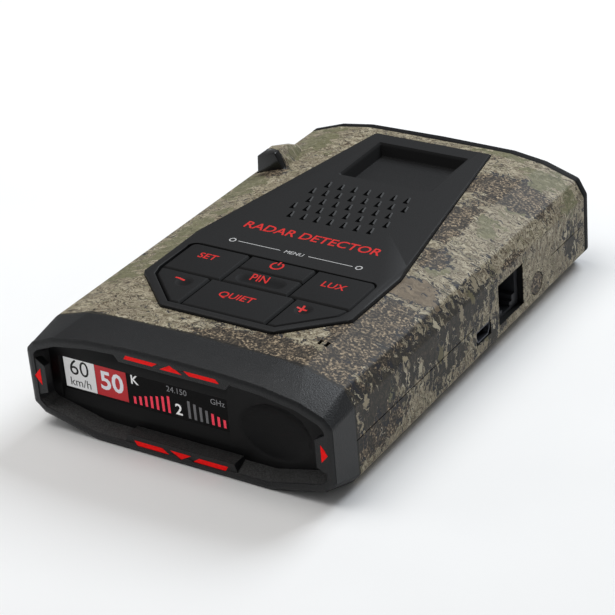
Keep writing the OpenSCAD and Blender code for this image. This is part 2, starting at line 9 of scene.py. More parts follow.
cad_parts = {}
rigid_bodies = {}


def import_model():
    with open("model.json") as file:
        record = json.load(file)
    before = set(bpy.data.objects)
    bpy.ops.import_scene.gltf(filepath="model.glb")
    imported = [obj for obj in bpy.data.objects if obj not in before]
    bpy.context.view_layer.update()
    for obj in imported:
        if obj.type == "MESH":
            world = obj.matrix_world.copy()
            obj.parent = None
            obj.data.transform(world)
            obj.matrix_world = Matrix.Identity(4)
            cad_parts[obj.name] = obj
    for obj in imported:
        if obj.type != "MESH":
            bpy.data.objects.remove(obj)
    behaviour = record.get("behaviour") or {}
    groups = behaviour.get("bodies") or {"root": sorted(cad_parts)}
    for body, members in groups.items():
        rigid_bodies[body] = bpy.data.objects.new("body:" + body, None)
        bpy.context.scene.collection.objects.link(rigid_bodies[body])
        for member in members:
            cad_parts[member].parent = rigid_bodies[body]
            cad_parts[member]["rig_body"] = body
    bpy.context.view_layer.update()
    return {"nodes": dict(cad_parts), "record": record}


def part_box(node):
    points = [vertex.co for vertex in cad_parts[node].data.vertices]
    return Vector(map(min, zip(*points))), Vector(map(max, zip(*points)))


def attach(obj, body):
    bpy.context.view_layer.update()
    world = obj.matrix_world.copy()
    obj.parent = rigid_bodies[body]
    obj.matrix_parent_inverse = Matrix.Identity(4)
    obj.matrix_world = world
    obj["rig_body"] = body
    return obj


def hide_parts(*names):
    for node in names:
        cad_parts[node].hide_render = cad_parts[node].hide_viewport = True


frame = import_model()
nodes = frame["nodes"]
scene = bpy.context.scene
MM = 0.001
FRONT_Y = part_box("front_bezel")[0].y
DATUM_Z = 0.4 * MM
PANEL_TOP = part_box("top_panel")[1].z
KEY_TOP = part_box("key_mute")[1].z


def at(x, y, z):
    """A point from millimetres: across, back from the ring round the mouth, and up from the datum."""
    return Vector((x * MM, FRONT_Y + y * MM, DATUM_Z + z * MM))


# ---------------------------------------------------------------- materials

def linear(r, g, b):
    """Linear colour from 0 to 255 display values."""
    def one(v):
        v = v / 255
        return v / 12.92 if v <= 0.04045 else ((v + 0.055) / 1.055) ** 2.4
    return (one(r), one(g), one(b), 1.0)


class Graph:
    """Short names for building a material's nodes."""

    def __init__(self, name):
        self.mat = bpy.data.materials.new(name)
        self.mat.use_nodes = True
        self.tree = self.mat.node_tree
        self.shader = self.tree.nodes["Principled BSDF"]

    def node(self, kind, **settings):
        made = self.tree.nodes.new(kind)
        for key, value in settings.items():
            setattr(made, key, value)
        return made

    def feed(self, socket, value):
        if isinstance(value, bpy.types.NodeSocket):
            self.tree.links.new(value, socket)
        elif isinstance(value, (tuple, list, Vector)) and len(value) == 3 and len(socket.default_value) == 4:
            socket.default_value = (*value, 1.0)
        else:
            socket.default_value = value

    def math(self, op, *values):
        made = self.node("ShaderNodeMath", operation=op)
        for socket, value in zip(made.inputs, values):
            self.feed(socket, value)
        return made.outputs[0]

    def vector(self, op, *values):
        made = self.node("ShaderNodeVectorMath", operation=op)
        for socket, value in zip(made.inputs, values):
            self.feed(socket, value)
        return made.outputs["Value" if op in ("LENGTH", "DOT_PRODUCT", "DISTANCE") else "Vector"]

    def position(self):
        """The surface point in millimetres, in the object's own frame."""
        if not hasattr(self, "_position"):
            coordinates = self.node("ShaderNodeTexCoord").outputs["Object"]
            self._position = self.vector("MULTIPLY", coordinates, (1000, 1000, 1000))
        return self._position

    def split(self, vector):
        made = self.node("ShaderNodeSeparateXYZ")
        self.feed(made.inputs[0], vector)
        return made.outputs

    def join(self, x, y, z):
        made = self.node("ShaderNodeCombineXYZ")
        for socket, value in zip(made.inputs, (x, y, z)):
            self.feed(socket, value)
        return made.outputs[0]

    def noise(self, vector, scale, detail=2.0, rough=0.5, distortion=0.0, out="Fac"):
        made = self.node("ShaderNodeTexNoise")
        self.feed(made.inputs["Vector"], vector)
        settings = {"Scale": scale, "Detail": detail, "Roughness": rough, "Distortion": distortion}
        for key, value in settings.items():
            made.inputs[key].default_value = value
        return made.outputs[out]

    def cells(self, vector, scale, out="Distance"):
        made = self.node("ShaderNodeTexVoronoi")
        self.feed(made.inputs["Vector"], vector)
        made.inputs["Scale"].default_value = scale
        return made.outputs[out]

    def ramp(self, value, stops, hard=False):
        made = self.node("ShaderNodeValToRGB")
        made.color_ramp.interpolation = "CONSTANT" if hard else "LINEAR"
        points = made.color_ramp.elements
        while len(points) < len(stops):
            points.new(0.5)
        for point, (place, colour) in zip(points, stops):
            point.position = place
            point.color = colour
        self.feed(made.inputs[0], value)
        return made.outputs[0]

    def step(self, value, low, high):
        """0 below low, 1 above high."""
        made = self.node("ShaderNodeMapRange", interpolation_type="SMOOTHSTEP")
        for socket, number in zip(made.inputs, (value, low, high, 0.0, 1.0)):
            self.feed(socket, number)
        return made.outputs[0]

    def blend(self, factor, a, b):
        made = self.node("ShaderNodeMix", data_type="RGBA")
        self.feed(made.inputs[0], factor)
        self.feed(made.inputs[6], a)
        self.feed(made.inputs[7], b)
        return made.outputs[2]

    def bump(self, height, strength, distance):
        made = self.node("ShaderNodeBump")
        self.feed(made.inputs["Height"], height)
        made.inputs["Strength"].default_value = strength
        made.inputs["Distance"].default_value = distance * MM
        return made.outputs[0]

    def set(self, **values):
        names = {"color": "Base Color", "rough": "Roughness", "metal": "Metallic", "normal": "Normal",
                 "specular": "Specular IOR Level", "emission": "Emission Color", "glow": "Emission Strength"}
        for key, value in values.items():
            self.feed(self.shader.inputs[names[key]], value)
        return self.mat


COLOUR_SPREAD = 0.12
ROUGH_SPREAD = 0.06


def plastic(name, colour, rough=0.5, grain=0.35, depth=0.02, specular=0.4):
    """Moulded plastic with a fine spark-eroded grain and slight unevenness in colour and gloss."""
    g = Graph(name)
    p = g.position()
    fine = g.noise(p, 1 / grain, 3.0, 0.6)
    wide = g.noise(p, 0.12, 3.0, 0.5)
    dark = tuple(c * (1 - COLOUR_SPREAD) for c in colour[:3]) + (1.0,)
    light = tuple(c * (1 + COLOUR_SPREAD) for c in colour[:3]) + (1.0,)
    tone = g.math("ADD", g.math("MULTIPLY", fine, 0.5), g.math("MULTIPLY", wide, 0.5))
    shade = g.ramp(tone, [(0.3, dark), (0.7, light)])
    gloss = g.math("ADD", rough - ROUGH_SPREAD, g.math("MULTIPLY", wide, 2 * ROUGH_SPREAD))
    return g.set(color=shade, rough=gloss, specular=specular, normal=g.bump(fine, 0.8, depth))


# Wide areas of the camouflage, each (u, v, half width, half length) in millimetres. u runs across the
# top and on down the sides, and v runs back from the ring round the mouth.
BARK = [(21, 13, 25, 6.5), (36, 31, 9, 17), (31, 109, 12.5, 6.5), (27, 87, 3.5, 12), (32, 69, 4, 4),
        (47, 88, 1.5, 5), (58, 20, 5, 12), (-36, 3, 3, 3), (-52, 88, 7, 14), (-60, 34, 8, 12),
        (-33, 96, 4, 3.5)]
CLAY = [(35, 53.5, 6.5, 4.5), (31, 70, 3, 4), (-56, 66, 5, 6)]
SHADE = [(49, 63, 5.5, 11), (48.5, 40, 5.5, 13), (50, 18, 6.5, 11), (58, 52, 4.5, 8), (57, 121, 4, 4.5),
         (-48, 52, 5, 16), (-55, 112, 5, 8), (62, 74, 3, 6)]
MOSS = [(37, 122, 7, 5), (34, 34, 3.5, 4), (34, 65, 2.5, 3.5), (35, 90, 3, 3.5), (-38, 88, 5, 11),
        (-34, 52, 4, 20), (-38, 35, 3, 9), (-33, 116, 6, 9), (46, 121, 2.5, 4), (36, 102, 2, 2),
        (20, 127, 6, 2), (52, 24, 3, 6)]
CASE_SHOULDER = 25.4
ISLAND_SCALE = 0.34


def camouflage(name, wide=None):
    """Woodland print in bark browns, stone and moss over satin plastic. wide="bark" prints one area only."""
    g = Graph(name)
    p = g.position()
    x, y, z = g.split(p)
    v = g.math("SUBTRACT", y, FRONT_Y / MM)
    side = g.math("MAXIMUM", g.math("SUBTRACT", CASE_SHOULDER, z), 0.0)
    lean = g.math("MAXIMUM", g.math("MINIMUM", g.math("DIVIDE", x, 20.0), 1.0), -1.0)
    u = g.math("ADD", x, g.math("MULTIPLY", side, lean))
    flat = g.join(u, v, 0.0)
    ragged = g.noise(flat, 0.36, 2.0, 0.62, out="Color")
    warp = g.vector("MULTIPLY", g.vector("SUBTRACT", ragged, (0.5, 0.5, 0.5)), (7.5, 5.2, 0.0))
    torn = g.vector("ADD", flat, warp)
    streak = g.vector("MULTIPLY", torn, (0.45, 1.0, 1.0))

    def area(patches, noise, weight):
        best = None
        for pu, pv, ru, rv in patches:
            reach = g.vector("LENGTH", g.vector("MULTIPLY", g.vector("SUBTRACT", torn, (pu, pv, 0.0)),
                                                (1 / ru, 1 / rv, 0.0)))
            inside = g.math("SUBTRACT", 1.0, reach)
            best = inside if best is None else g.math("MAXIMUM", best, inside)
        return g.math("ADD", best, g.math("MULTIPLY", g.math("SUBTRACT", noise, 0.5), weight))

    def drift(du, dv, scale, detail=4.0, rough=0.62):
        """Noise of the streaked print, from its own part of the field."""
        return g.noise(g.vector("ADD", streak, (du, dv, 0.0)), scale, detail, rough)

    def band(field, low, high, soft):
        return g.math("MULTIPLY", g.step(field, low - soft, low), g.step(field, high + soft, high))

    bark_field = area(BARK, drift(0, 0, 0.34, 3.0, 0.6), 1.7)
    clay_field = area(CLAY, drift(9, 71, 0.4, 2.0), 1.6)
    shade_field = area(SHADE, drift(31, 7, 0.50, 1.5, 0.5), 4.6)
    moss_field = area(MOSS, drift(-17, 43, 0.34, 2.0, 0.55), 4.6)

    # Stone: pale, lined across the case, with olive drifts, brown flecks and broken inky curls
    lines = g.noise(g.vector("MULTIPLY", torn, (0.5, 1.6, 1.0)), 0.9, 5.0, 0.72, 0.6)
    stone = g.ramp(lines, [(0.37, linear(66, 57, 45)), (0.44, linear(120, 110, 90)),
                           (0.51, linear(152, 143, 121)), (0.60, linear(174, 166, 145))])
    tone = g.noise(flat, 0.11, 2.0, 0.5)
    stone = g.blend(g.math("MULTIPLY", g.step(tone, 0.42, 0.66), 0.45), stone, linear(124, 115, 98))
    olive = drift(63, -20, 0.5, 4.0, 0.68)
    stone = g.blend(g.math("MULTIPLY", g.step(olive, 0.56, 0.575), 0.6), stone, linear(112, 108, 84))
    fleck = g.noise(g.vector("MULTIPLY", torn, (0.6, 1.5, 1.0)), 1.35, 3.0, 0.6, 1.0)
    where = g.step(g.noise(flat, 0.16, 3.0, 0.6), 0.36, 0.60)
    stone = g.blend(g.math("MULTIPLY", g.step(fleck, 0.548, 0.556), 0.85), stone, linear(86, 71, 54))
    stone = g.blend(g.math("MULTIPLY", g.step(fleck, 0.588, 0.596), where), stone, linear(22, 20, 19))
    curl = drift(5, 90, 0.55, 3.0, 0.55)
    curl_place = g.step(drift(-40, 12, 0.5, 2.0, 0.5), 0.50, 0.56)
    curls = g.math("MULTIPLY", band(curl, 0.490, 0.510, 0.003), curl_place)
    stone = g.blend(curls, stone, linear(42, 44, 50))

    # Bark: coarse grains of dark and tan over clumps of shade
    crumb = g.noise(flat, 1.5, 3.5, 0.62, 0.4)
    bark = g.ramp(crumb, [(0.36, linear(19, 17, 15)), (0.45, linear(46, 39, 32)),
                          (0.53, linear(92, 80, 65)), (0.62, linear(166, 149, 124))])
    clump = g.noise(flat, 0.35, 4.0, 0.65)
    bark = g.blend(g.math("MULTIPLY", g.step(clump, 0.46, 0.58), 0.72), bark, linear(33, 29, 25))
    bark = g.blend(g.math("MULTIPLY", g.step(clump, 0.42, 0.35), 0.4), bark, linear(122, 108, 88))
    if wide == "bark":
        return g.set(color=bark, rough=0.55, specular=0.3, normal=g.bump(crumb, 0.3, 0.02))

    clay = g.ramp(drift(2, 2, 0.9), [(0.35, linear(92, 79, 62)), (0.65, linear(124, 110, 90))])
    clay = g.blend(g.math("MULTIPLY", g.step(fleck, 0.56, 0.60), 0.6), clay, linear(62, 54, 45))

    # Shade: dark earth with long pale islands
    soot = drift(3, 15, 1.1, 5.0, 0.74)
    shade = g.ramp(soot, [(0.36, linear(30, 29, 27)), (0.5, linear(47, 44, 38)), (0.62, linear(76, 67, 55))])
    half_torn = g.vector("ADD", flat, g.vector("MULTIPLY", warp, (0.6, 0.6, 0.0)))
    island_at = g.vector("MULTIPLY", half_torn, (0.42, 1.0, 1.0))
    island = g.cells(island_at, ISLAND_SCALE)
    tint = g.split(g.cells(island_at, ISLAND_SCALE, out="Color"))[0]
    island_fill = g.ramp(tint, [(0.0, linear(134, 125, 105)), (0.35, linear(166, 158, 137)),
                                (0.62, linear(98, 92, 68)), (0.8, linear(148, 138, 115))], hard=True)
    reach = g.math("ADD", 0.36, g.math("MULTIPLY", g.math("SUBTRACT", soot, 0.5), 1.1))
    shade = g.blend(g.step(g.math("SUBTRACT", island, reach), 0.10, 0.08), shade, linear(26, 27, 32))
    shade = g.blend(g.step(g.math("SUBTRACT", island, reach), 0.01, -0.01), shade, island_fill)

    # Moss: flat olive with thin dark veins
    moss = g.ramp(drift(8, 31, 0.8), [(0.35, linear(88, 87, 62)), (0.62, linear(114, 111, 84))])
    moss = g.blend(g.math("MULTIPLY", g.step(fleck, 0.57, 0.61), 0.75), moss, linear(62, 58, 44))
    moss = g.blend(g.math("MULTIPLY", g.step(lines, 0.54, 0.60), 0.6), moss, linear(150, 143, 122))

    broken = g.step(g.noise(flat, 0.33, 2.0, 0.5), 0.42, 0.48)

    def rim(field, width):
        """A thin inky line just outside an area's edge, broken here and there."""
        return g.math("MULTIPLY", band(field, -width, -0.12 * width, 0.12 * width), broken)

    colour = g.blend(g.step(moss_field, 0.0, 0.05), stone, moss)
    layers = ((clay_field, 0.14, clay), (bark_field, 0.09, bark), (shade_field, 0.34, shade))
    for field, width, fill in layers:
        colour = g.blend(rim(field, width), colour, linear(30, 31, 37))
        colour = g.blend(g.step(field, 0.0, width * 0.12), colour, fill)

    # Painted shade: the print is darkened where it runs into the joints with the bezel and the rear cover, as
    # a contact shadow. The bezel stands proud most in the middle, so the shaded edge is widest there.
    teeth = g.math("MULTIPLY", g.noise(flat, 1.3, 2.0, 0.5), 1.1)
    proud = g.math("MAXIMUM", g.math("SUBTRACT", 1.75, g.math("MULTIPLY", g.math("ABSOLUTE", x), 0.04)), 0.0)
    front_joint_shade = g.step(g.math("SUBTRACT", v, g.math("ADD", teeth, proud)), BEZEL_LENGTH + 0.1, BEZEL_LENGTH)
    rear_joint_shade = g.step(v, COVER_Y - 0.35, COVER_Y - 0.02)
    joint_shade = g.math("MULTIPLY", g.math("MAXIMUM", front_joint_shade, rear_joint_shade), 0.9)
    colour = g.blend(joint_shade, colour, linear(16, 15, 13))

    def inside(value, low, high):
        return g.math("MULTIPLY", g.step(value, low - 0.02, low), g.step(value, high + 0.02, high))

    # The walls of the openings are unprinted, and darkened further to near black with painted shade
    unprinted_shaded_well = None
    for (x0, x1), (y0, y1), (z0, z1) in WELLS:
        box = g.math("MULTIPLY", g.math("MULTIPLY", inside(x, x0, x1), inside(y, y0, y1)), inside(z, z0, z1))
        unprinted_shaded_well = box if unprinted_shaded_well is None else g.math("MAXIMUM", unprinted_shaded_well, box)
    colour = g.blend(unprinted_shaded_well, colour, linear(9, 9, 9))
    gloss = g.math("ADD", 0.50, g.math("MULTIPLY", crumb, 0.12))
    orange_peel = g.bump(g.noise(p, 3.0, 3.0, 0.6), 0.25, 0.015)
    return g.set(color=colour, rough=gloss, specular=0.28, normal=orange_peel)


def panel_plastic():
    """The panel's satin black. The walls of the mount pocket are darkened with painted shade to match the
    photo.
    """
    g = Graph("panel_black")
    p = g.position()
    x, y, z = g.split(p)
    fine = g.noise(p, 2.5, 3.0, 0.6)
    shade = g.ramp(fine, [(0.3, linear(21, 21, 22)), (0.7, linear(27, 27, 28))])
    # Painted shade: the walls of the mount pocket are darkened, all but its floor.
    across = g.step(g.math("ABSOLUTE", x), *POCKET_SIDES)
    behind = g.step(y, POCKET_FRONT - 0.7, POCKET_FRONT - 0.6)
    below = g.step(z, PANEL_TOP / MM - 0.12, PANEL_TOP / MM - 0.3)
    shaded_pocket_wall = g.math("MULTIPLY", g.math("MULTIPLY", across, behind), below)
    floor_part = g.step(z, POCKET_FLOOR + 0.3, POCKET_FLOOR + 0.2)
    shaded_pocket_wall = g.math("MULTIPLY", shaded_pocket_wall, g.math("SUBTRACT", 1.0, floor_part))
    shade = g.blend(shaded_pocket_wall, shade, linear(10, 10, 11))
    gloss = g.math("ADD", 0.52, g.math("MULTIPLY", shaded_pocket_wall, 0.3))
    return g.set(color=shade, rough=gloss, specular=0.22, normal=g.bump(fine, 0.8, 0.05))


def key_plastic():
    """The keys' matt black. Painted shade darkens it below the key's top, in the finger hollows and bevels.
    """
    g = Graph("key_black")
    p = g.position()
    fine = g.noise(p, 2.5, 3.0, 0.6)
    shade = g.ramp(fine, [(0.3, linear(22, 22, 23)), (0.7, linear(28, 28, 29))])
    z = g.split(p)[2]
    # Painted shade below the key's top, in the finger hollows and bevels.
    hollow_shade = g.step(z, KEY_TOP / MM - 0.02, KEY_TOP / MM - 0.42)
    shade = g.blend(hollow_shade, shade, linear(10, 10, 11))
    gloss = g.math("ADD", 0.58, g.math("MULTIPLY", fine, 0.1))
    return g.set(color=shade, rough=gloss, specular=0.15, normal=g.bump(fine, 0.8, 0.06))


def bezel_plastic():
    """Coarse-grained satin black. The floor of the mouth is lightened to match the light that the
    photo shows there."""
    g = Graph("case_black")
    p = g.position()
    y, z = g.split(p)[1:3]
    grain = g.noise(p, 2.6, 3.0, 0.6)
    fine = g.noise(p, 6.0, 2.0, 0.5)
    up = g.split(g.node("ShaderNodeNewGeometry").outputs["Normal"])[2]
    mouth_floor = g.math("MULTIPLY", g.step(up, 0.25, 0.7), g.step(z, 9.0, 7.5))
    mouth_floor = g.math("MULTIPLY", mouth_floor, g.step(y, FRONT_Y / MM + 0.15, FRONT_Y / MM + 0.5))
    shade = g.ramp(grain, [(0.3, linear(19, 20, 22)), (0.7, linear(25, 26, 28))])
    lightened = g.ramp(grain, [(0.35, linear(36, 36, 36)), (0.65, linear(66, 66, 66))])
    shade = g.blend(mouth_floor, shade, lightened)
    gloss = g.math("ADD", 0.36, g.math("MULTIPLY", fine, 0.12))
    return g.set(color=shade, rough=gloss, specular=0.32, normal=g.bump(grain, 0.9, 0.13))


def lit_plastic():
    """Clear red plastic with a little light in it."""
    g = Graph("light_pipe_red")
    p = g.position()
    cloudy = g.noise(p, 1.2, 3.0, 0.5)
    shade = g.ramp(cloudy, [(0.3, linear(214, 5, 6)), (0.7, linear(240, 12, 12))])
    gloss = g.math("ADD", 0.34, g.math("MULTIPLY", cloudy, 0.1))
    return g.set(color=shade, rough=gloss, specular=0.12, emission=linear(226, 10, 10), glow=0.22,
                 normal=g.bump(cloudy, 0.3, 0.004))


def metal(name, colour, rough=0.35):
    g = Graph(name)
    p = g.position()
    brushed = g.noise(g.vector("MULTIPLY", p, (1.0, 6.0, 1.0)), 1.5, 3.0, 0.6)
    gloss = g.math("ADD", rough - 0.08, g.math("MULTIPLY", brushed, 0.16))
    dark = tuple(c * 0.85 for c in colour[:3]) + (1.0,)
    return g.set(color=g.ramp(brushed, [(0.3, dark), (0.7, colour)]), metal=1.0, rough=gloss,
                 normal=g.bump(brushed, 0.15, 0.01))


def printed(name, colour, glow=0.0):
    """Opaque ink, or a lit patch of the display."""
    g = Graph(name)
    p = g.position()
    mottled = g.noise(p, 2.5, 2.0, 0.5)
    dark = tuple(c * 0.93 for c in colour[:3]) + (1.0,)
    return g.set(color=g.ramp(mottled, [(0.35, dark), (0.65, colour)]), rough=0.45, specular=0.3,
                 emission=colour, glow=glow)


SEAT = next(m for m in frame["record"]["mounts"] if m["name"] == "mount_seat")["pos_m"]
POCKET_FLOOR = SEAT[2] / MM
POCKET_SIDES = (14.5, 14.3)
POCKET_HALF_LENGTH = 9.3
POCKET_FRONT = SEAT[1] / MM - POCKET_HALF_LENGTH
DISH_LEFT = 13.0
FASCIA_Y = (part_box("display_fascia")[0].y - FRONT_Y) / MM
BEZEL_LENGTH = (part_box("front_bezel")[1].y - FRONT_Y) / MM
COVER_Y = (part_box("rear_cover")[0].y - FRONT_Y) / MM
# Walls of the side openings, as ranges across, back and up
SIDE_WALLS = (38.0, 43.35)
VENTS = ((27.7, 30.6), (FRONT_Y / MM + 20.1, FRONT_Y / MM + 22.3), (20.0, 28.9))


def well_at(node, reach):
    """The walls round a socket in the right-hand side, up to just below the printed surface."""
    low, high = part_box(node)
    return (SIDE_WALLS, (low.y / MM - reach, high.y / MM + reach), (low.z / MM - reach, high.z / MM + reach))


WELLS = [well_at("modular_jack", 1.2), well_at("mini_usb_socket", 0.9), VENTS]
camo = camouflage("camouflage_print")
bark_print = camouflage("bark_print", "bark")
case_black = bezel_plastic()
cover_black = plastic("cover_black", linear(14, 14, 15), rough=0.62, grain=0.5, depth=0.05, specular=0.12)
panel_black = panel_plastic()
key_black = key_plastic()
fascia_black = plastic("fascia_black", linear(15, 15, 16), rough=0.46, grain=0.4, depth=0.03, specular=0.16)
lens_black = plastic("lens_black", linear(16, 16, 17), rough=0.16, grain=1.5, depth=0.002, specular=0.4)
glass_black = plastic("display_glass", linear(9, 9, 10), rough=0.2, grain=2.0, depth=0.001, specular=0.08)
red_plastic = lit_plastic()
jack_black = plastic("jack_black", linear(38, 39, 42), rough=0.45, grain=0.4, depth=0.02, specular=0.35)
usb_steel = metal("usb_steel", linear(96, 98, 104), rough=0.5)
red_ink = printed("red_ink", linear(206, 38, 36))
white_ink = printed("white_ink", linear(190, 190, 190))

MATERIAL_OF = {
    "upper_shell": camo, "lower_shell": camo, "earphone_cap": bark_print,
    "front_bezel": case_black, "rear_cover": cover_black, "top_panel": panel_black,
    "display_fascia": fascia_black, "display_lens": glass_black, "rear_laser_lens": lens_black,
    "light_pipe_top": red_plastic, "light_pipe_bottom": red_plastic,
    "light_pipe_left": red_plastic, "light_pipe_right": red_plastic,
    "modular_jack": jack_black, "earphone_socket": jack_black, "mini_usb_socket": usb_steel,
}
MATERIAL_OF.update({name: key_black for name in nodes if name.startswith("key_")})
INNER = {
    "display_module": plastic("module_grey", linear(58, 62, 70), rough=0.5),
    "display_ribbon": plastic("ribbon_amber", linear(180, 118, 42), rough=0.35, specular=0.5),
    "rear_laser_sensor": plastic("sensor_green", linear(52, 64, 48), rough=0.4),
    "forward_laser_sensor": plastic("sensor_green_b", linear(52, 64, 48), rough=0.4),
    "keypad_mat": plastic("silicone_grey", linear(80, 82, 86), rough=0.7),
    "keypad_board": plastic("board_green", linear(40, 98, 58), rough=0.35, specular=0.5),
    "main_board": plastic("board_green_b", linear(30, 88, 50), rough=0.35, specular=0.5),
    "keypad_screws": metal("screw_zinc", linear(165, 167, 172)),
    "board_screws": metal("screw_zinc_b", linear(165, 167, 172)),
    "case_screws": metal("screw_black", linear(48, 48, 50), rough=0.45),
    "speaker": plastic("speaker_grey", linear(70, 71, 74), rough=0.6),
    "speaker_gasket": plastic("foam_black", linear(28, 28, 28), rough=0.85, grain=0.6, depth=0.05),
    "mount_magnets": metal("magnet_nickel", linear(190, 192, 196), rough=0.2),
    "board_components": plastic("package_black", linear(36, 37, 40), rough=0.5),
    "rf_shield": metal("shield_tin", linear(172, 174, 180)),
    "radio_module": metal("radio_tin", linear(180, 182, 188)),
    "gps_antenna": plastic("ceramic_tan", linear(198, 186, 158), rough=0.5),
    "forward_horn": metal("horn_cast", linear(165, 168, 174), rough=0.45),
    "rearward_horn": metal("horn_cast_b", linear(165, 168, 174), rough=0.45),
}
MATERIAL_OF.update(INNER)


def paint(obj, material):
    obj.data.materials.clear()
    obj.data.materials.append(material)


for name, obj in nodes.items():
    paint(obj, MATERIAL_OF[name])

# ---------------------------------------------------------------- meshes

def show(name, mesh, material, body):
    obj = bpy.data.objects.new(name, mesh)
    scene.collection.objects.link(obj)
    paint(obj, material)
    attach(obj, body)
    return obj


def smooth(bm, limit=35):
    """Smooth shading, with creases where two faces meet at more than the limit in degrees."""
    for face in bm.faces:
        face.smooth = True
    for edge in bm.edges:
        edge.smooth = len(edge.link_faces) == 2 and edge.calc_face_angle(0.0) < math.radians(limit)


def softened(node, passes, limit=35):
    """A copy of a CAD node with edges rounded, shown in its place. Each pass gives a test of an edge,
    a width in millimetres and a number of segments."""
    source = nodes[node]
    bm = bmesh.new()
    bm.from_mesh(source.data)
    bmesh.ops.remove_doubles(bm, verts=bm.verts, dist=0.002 * MM)
    bmesh.ops.dissolve_limit(bm, angle_limit=math.radians(0.6), verts=bm.verts, edges=bm.edges)
    for test, width, segments in passes:
        bm.normal_update()
        edges = [e for e in bm.edges if len(e.link_faces) == 2 and test(e)]
        bmesh.ops.bevel(bm, geom=edges, offset=width * MM, segments=segments, profile=0.5, affect="EDGES",
                        clamp_overlap=False)
    low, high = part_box(node)
    for vert in bm.verts:
        vert.co = Vector([min(max(c, a), b) for c, a, b in zip(vert.co, low, high)])
    smooth(bm, limit)
    mesh = bpy.data.meshes.new(node + "_skin")
    bm.to_mesh(mesh)
    bm.free()
    obj = show(node + "_skin", mesh, MATERIAL_OF[node], source["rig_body"])
    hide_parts(node)


def convex(edge, angle=30):
    return edge.is_convex and edge.calc_face_angle(0.0) > math.radians(angle)


def edge_place(edge):
    """The middle of an edge in millimetres: across, back from the ring, up from the datum."""
    middle = (edge.verts[0].co + edge.verts[1].co) / 2
    return middle.x / MM, (middle.y - FRONT_Y) / MM, (middle.z - DATUM_Z) / MM


CASE_MIDDLE_Z = 14.0
GRILLE_HALF_WIDTH = 17
GRILLE_REACH = (69, 96)


def faces_out(face):
    """Whether a face looks away from the line through the middle of the case."""
    centre = face.calc_center_median()
    return face.normal.x * centre.x * 0.35 + face.normal.z * (centre.z - CASE_MIDDLE_Z * MM) > 0.001 * MM


def ring_edge(edge):
    """The outer edge of the flat ring round the mouth."""
    if not convex(edge, 20) or max(abs(v.co.y - FRONT_Y) for v in edge.verts) > 0.02 * MM:
        return False
    other = min(edge.link_faces, key=lambda f: abs(f.normal.y))
    return faces_out(other)


def case_corner(edge):
    """An edge that runs back along the outside of the bezel."""
    run = edge.verts[1].co - edge.verts[0].co
    return (convex(edge, 8) and run.length > 3 * MM and abs(run.normalized().y) > 0.8
            and all(faces_out(f) for f in edge.link_faces))


def dish_rim(edge):
    """The edge of the oval hollow in the fascia."""
    x, y = edge_place(edge)[:2]
    on_face = abs(y - FASCIA_Y) < 0.03
    return on_face and x > DISH_LEFT and edge.calc_length() < 2.6 * MM and convex(edge, 12)


def panel_rim(edge):
    """The outer top edge of the panel, the edge of the key field and the rim of the pocket."""
    x, y, z = edge_place(edge)
    in_grille = abs(x) < GRILLE_HALF_WIDTH and GRILLE_REACH[0] < y < GRILLE_REACH[1]
    near_top = z > (PANEL_TOP - DATUM_Z) / MM - 1.2
    return convex(edge, 20) and near_top and edge.calc_length() > 0.6 * MM and not in_grille


for key in [n for n in nodes if n.startswith("key_")]:
    softened(key, [(convex, 0.1, 3)], limit=14)
softened("front_bezel", [(case_corner, 1.6, 6), (ring_edge, 0.8, 5)], limit=42)
softened("display_fascia", [(dish_rim, 0.7, 5)], limit=30)
softened("rear_cover", [(lambda e: convex(e, 40), 0.35, 3)])
softened("rear_laser_lens", [(convex, 0.25, 3)])
softened("top_panel", [(panel_rim, 0.3, 4)], limit=25)


# ---------------------------------------------------------------- print and display

CAP_HEIGHT = 0.73
INK_HALF = 0.012
ARC_STEPS = 40


def lettering(text, size, bold=0.0):
    """Centred text as a closed mesh in millimetres, flat in x and y, with capitals of the given height."""
    curve = bpy.data.curves.new("lettering", "FONT")
    curve.body = text
    curve.align_x = "CENTER"
    curve.align_y = "CENTER"
    curve.size = size / CAP_HEIGHT
    curve.offset = bold
    curve.extrude = INK_HALF
    curve.resolution_u = 3
    holder = bpy.data.objects.new("lettering", curve)
    scene.collection.objects.link(holder)
    mesh = bpy.data.meshes.new_from_object(holder.evaluated_get(bpy.context.evaluated_depsgraph_get()))
    bpy.data.objects.remove(holder)
    bm = bmesh.new()
    bm.from_mesh(mesh)
    bmesh.ops.remove_doubles(bm, verts=bm.verts, dist=0.0005)
    return bm


def outline(points):
    """A flat closed plate from an outline in millimetres."""
    bm = bmesh.new()
    low = [bm.verts.new((px, py, -INK_HALF)) for px, py in points]
    high = [bm.verts.new((px, py, INK_HALF)) for px, py in points]
    count = len(points)
    bm.faces.new(low[::-1])
    bm.faces.new(high)
    for i in range(count):
        bm.faces.new((low[i], low[(i + 1) % count], high[(i + 1) % count], high[i]))
    bmesh.ops.recalc_face_normals(bm, faces=bm.faces)
    return bm


def arc_band(radius, width, start=0.0, end=360.0):
    """A flat ring or part of one."""
    bm = bmesh.new()
    closed = end - start >= 360
    count = ARC_STEPS if closed else ARC_STEPS + 1
    half = width / 2
    corners = ((-half, -INK_HALF), (half, -INK_HALF), (half, INK_HALF), (-half, INK_HALF))
    loops = []
    for i in range(count):
        angle = math.radians(start + (end - start) * i / ARC_STEPS)
        loops.append([bm.verts.new(((radius + dr) * math.cos(angle), (radius + dr) * math.sin(angle), dz))
                      for dr, dz in corners])
    for i in range(count if closed else count - 1):
        a, b = loops[i], loops[(i + 1) % count]
        for k in range(4):
            bm.faces.new((a[k], b[k], b[(k + 1) % 4], a[(k + 1) % 4]))
    if not closed:
        bm.faces.new(loops[0])
        bm.faces.new(loops[-1][::-1])
    bmesh.ops.recalc_face_normals(bm, faces=bm.faces)
    return bm


